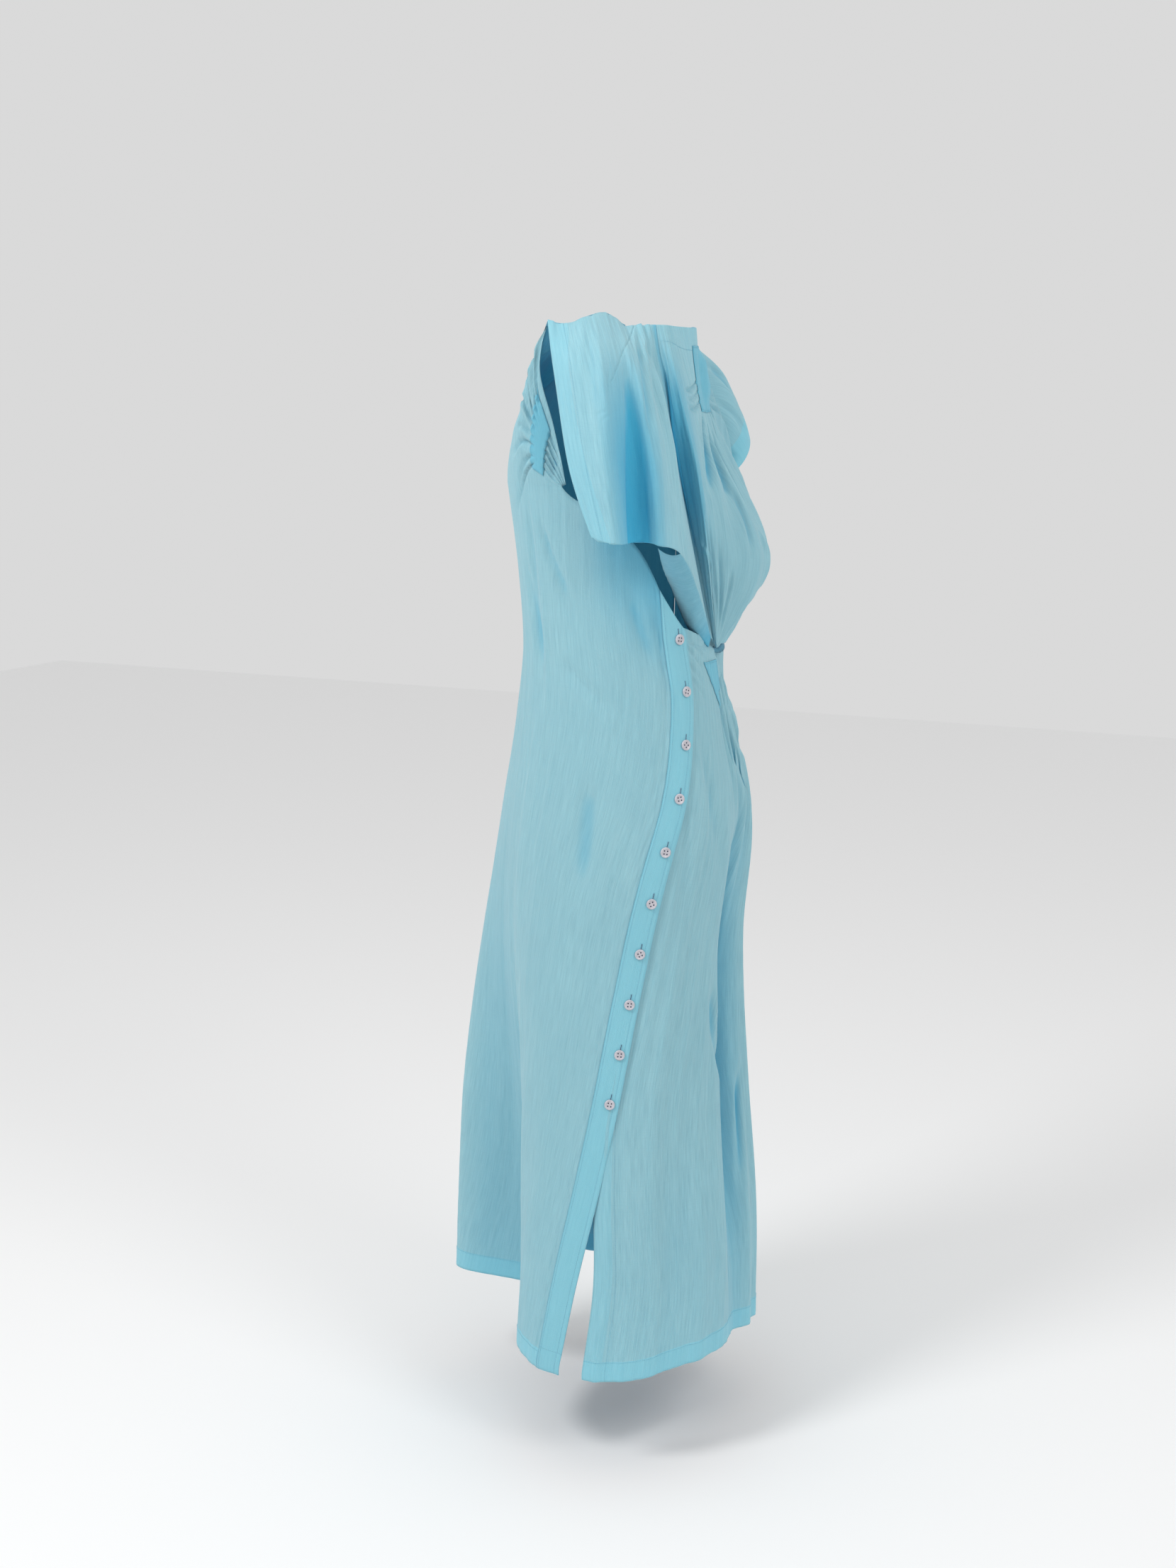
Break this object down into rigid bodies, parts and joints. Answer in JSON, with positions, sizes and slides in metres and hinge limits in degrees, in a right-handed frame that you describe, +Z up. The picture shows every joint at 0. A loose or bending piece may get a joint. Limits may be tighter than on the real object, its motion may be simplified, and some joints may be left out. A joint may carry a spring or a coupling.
{
  "type": "shirt dress",
  "caption": "Long hollow asymmetric shirt dress with a wide draped sleeve, a short sleeve, gathered stay strips and a buttoned edge that runs round the side to an open slit",
  "frame": {"origin": "on the middle line of the body at the height of the shoulder seams, where the wearer holds the dress up", "axes": "+Z up, the front of the dress faces -Y, the wearer's left is +X"},
  "size_m": [0.5092, 0.442, 1.3632],
  "materials": {
    "voile": "light blue plain-woven slub cotton voile, matt and slightly sheer",
    "doubled_voile": "the same cotton voile, doubled and pressed, so deeper in colour",
    "button": "pale grey shell-like buttons with a soft gloss"
  },
  "bodies": {
    "root": {"front_skirt_low": "voile", "front_skirt_high": "voile", "front_bodice": "voile", "back_skirt_low": "voile", "back_skirt_high": "voile", "left_sleeve": "voile", "back_bodice": "voile", "right_sleeve": "voile", "placket_band": "doubled_voile", "front_stay_strip": "doubled_voile", "waist_stay_strip": "doubled_voile", "back_stay_strip": "doubled_voile", "button_1": "button", "button_2": "button", "button_3": "button", "button_4": "button", "button_5": "button", "button_6": "button", "button_7": "button", "button_8": "button", "button_9": "button", "button_10": "button"}
  },
  "joints": []
}
